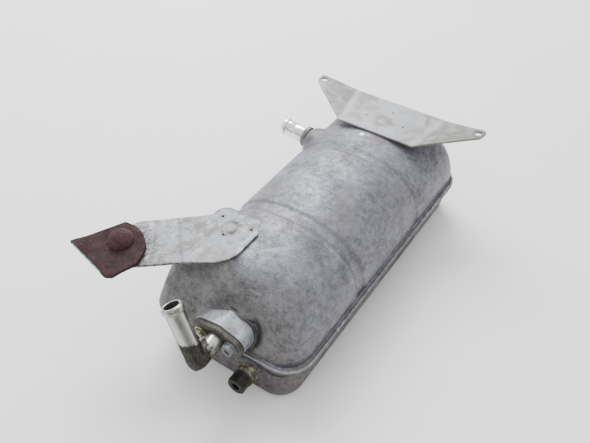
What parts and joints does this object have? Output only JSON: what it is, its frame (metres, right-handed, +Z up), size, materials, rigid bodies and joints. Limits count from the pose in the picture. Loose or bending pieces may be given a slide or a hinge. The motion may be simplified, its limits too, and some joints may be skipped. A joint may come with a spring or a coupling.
{
  "type": "expansion vessel",
  "caption": "Flow-through expansion vessel: arched pressed shell seamed to a flat-bottomed pan, flanged elbow outlet, drain plug, side inlet and two mounting brackets.",
  "frame": {"origin": "middle of the pan's flat floor, where the vessel rests", "axes": "+Z up through the crown, -Y towards the outlet port, +X to the right seen from the front"},
  "size_m": [0.2154, 0.3281, 0.1025],
  "materials": {
    "shell_alloy": "oxidised pressed sheet",
    "pan_alloy": "stained pressed sheet",
    "cast_alloy": "bright as-cast",
    "sheet_bright": "satin sheet",
    "sheet_grey": "satin sheet",
    "weld_metal": "as welded",
    "rusty_steel": "rusted",
    "flange_steel": "rusted",
    "zinc_yellow": "zinc plated, passivated",
    "zinc_grey": "zinc plated, dulled",
    "drain_steel": "tarnished zinc",
    "plug_steel": "blackened",
    "copper_seal": "crushed, dull",
    "seal_rubber": "matte"
  },
  "bodies": {
    "vessel": {"upper_shell": "shell_alloy", "lower_shell": "pan_alloy", "seam_gasket": "seal_rubber", "front_baffle": "shell_alloy", "rear_baffle": "shell_alloy", "port_block": "cast_alloy", "port_weld": "weld_metal", "port_gasket": "seal_rubber", "port_flange": "flange_steel", "outlet_elbow": "zinc_yellow", "outlet_bead": "zinc_yellow", "flange_bolt_right": "zinc_grey", "flange_bolt_left": "zinc_yellow", "pickup_tube": "sheet_grey", "drain_boss": "drain_steel", "drain_weld": "weld_metal", "inlet_pipe": "sheet_bright", "inlet_bead": "sheet_bright", "inlet_weld": "weld_metal", "rear_bracket": "sheet_grey", "rear_plug_weld": "weld_metal", "front_strap": "sheet_bright", "strap_plug_weld": "weld_metal", "end_plate": "rusty_steel", "strap_rivet": "rusty_steel"},
    "drain_seal": {"drain_washer": "copper_seal"},
    "plug": {"drain_plug": "plug_steel"}
  },
  "joints": [
    {"name": "plug_travel", "type": "slide", "parent": "vessel", "child": "drain_seal", "axis": [0, -1, 0], "range_m": [0, 0.00885]},
    {"name": "plug_turn", "type": "hinge", "parent": "drain_seal", "child": "plug", "pos_m": [0.0285, -0.1535, 0.025], "axis": [0, -1, 0], "range_deg": [0, 2520]}
  ],
  "couplings": [
    {"joint": "plug_travel", "follows": "plug_turn", "m_per_rad": 0.00019894}
  ]
}
